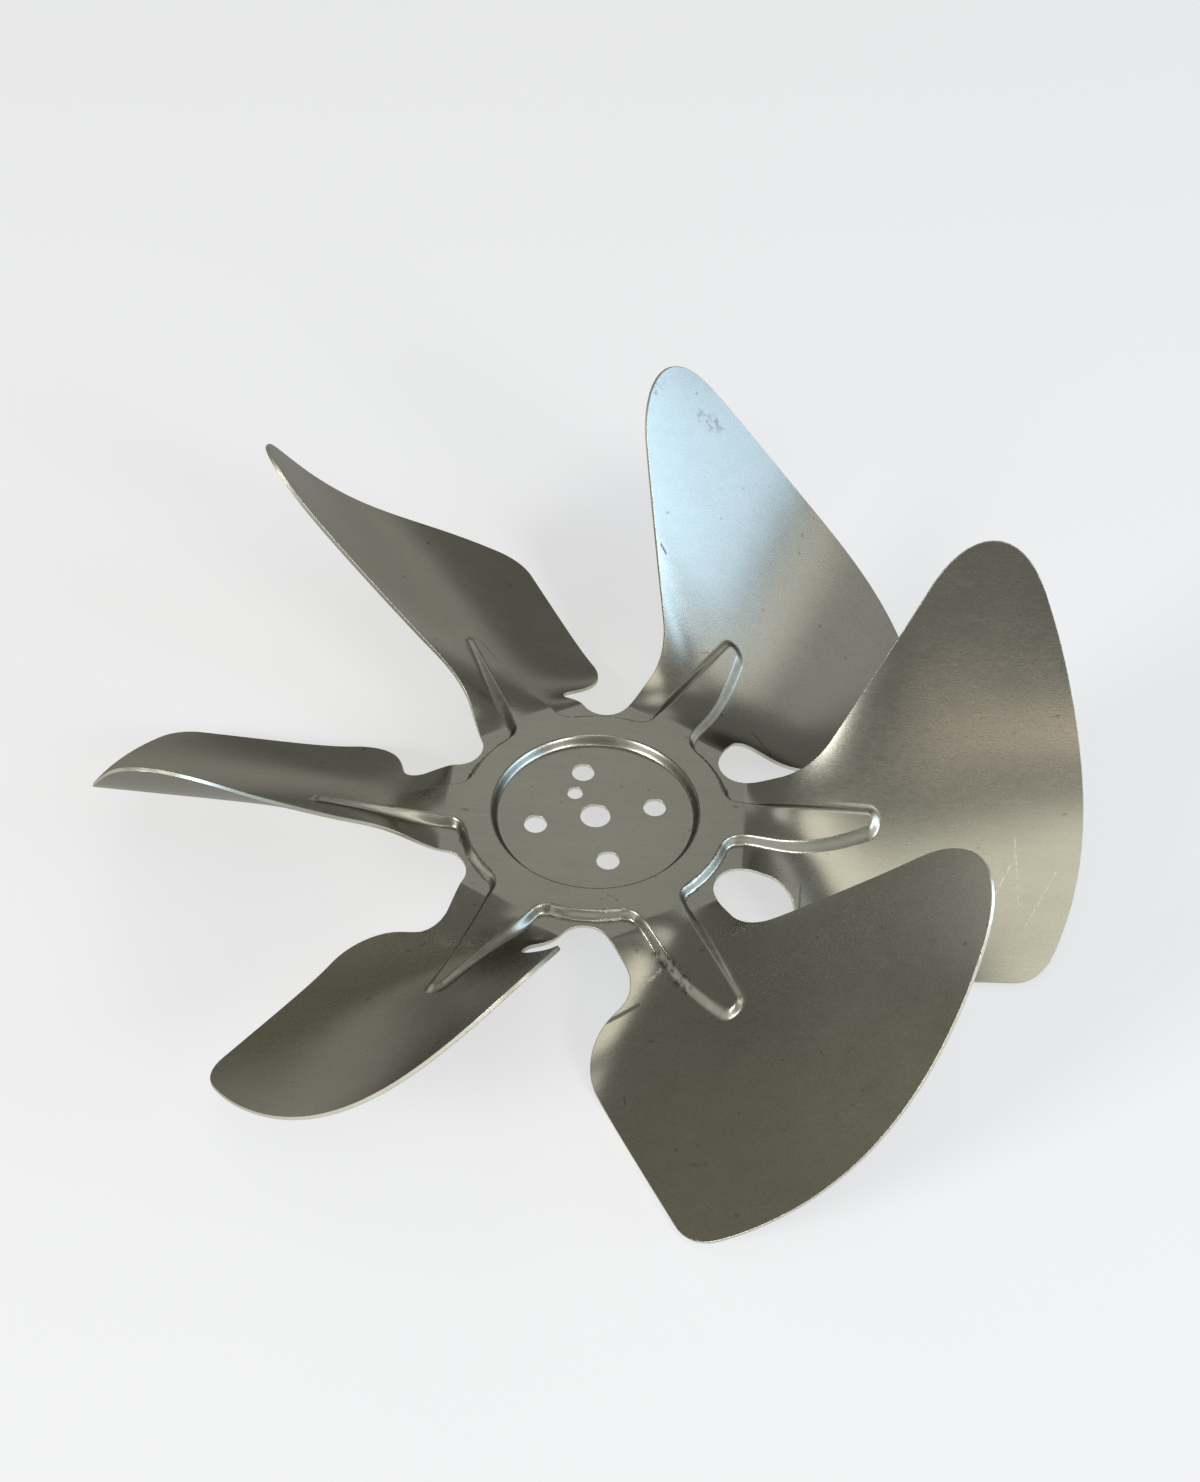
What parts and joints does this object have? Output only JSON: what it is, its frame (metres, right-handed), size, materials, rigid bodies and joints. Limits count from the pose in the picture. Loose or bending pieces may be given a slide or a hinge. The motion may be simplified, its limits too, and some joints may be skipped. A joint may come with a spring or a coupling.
{
  "type": "axial fan impeller",
  "caption": "Pressed aluminium axial fan impeller: a flat hub disc in a raised ring with radial ribs, and twisted, cambered blades all cut from one sheet.",
  "frame": {"origin": "centre of the hub bore, on the underside of the hub disc", "axes": "+Z along the axis of rotation, towards the side on which the ring and the ribs stand up; +X along the rib of the first blade"},
  "size_m": [0.2034, 0.1888, 0.0717],
  "materials": {
    "impeller": "mill finish, satin, lightly scuffed"
  },
  "bodies": {
    "root": {"impeller": "impeller"}
  },
  "joints": []
}
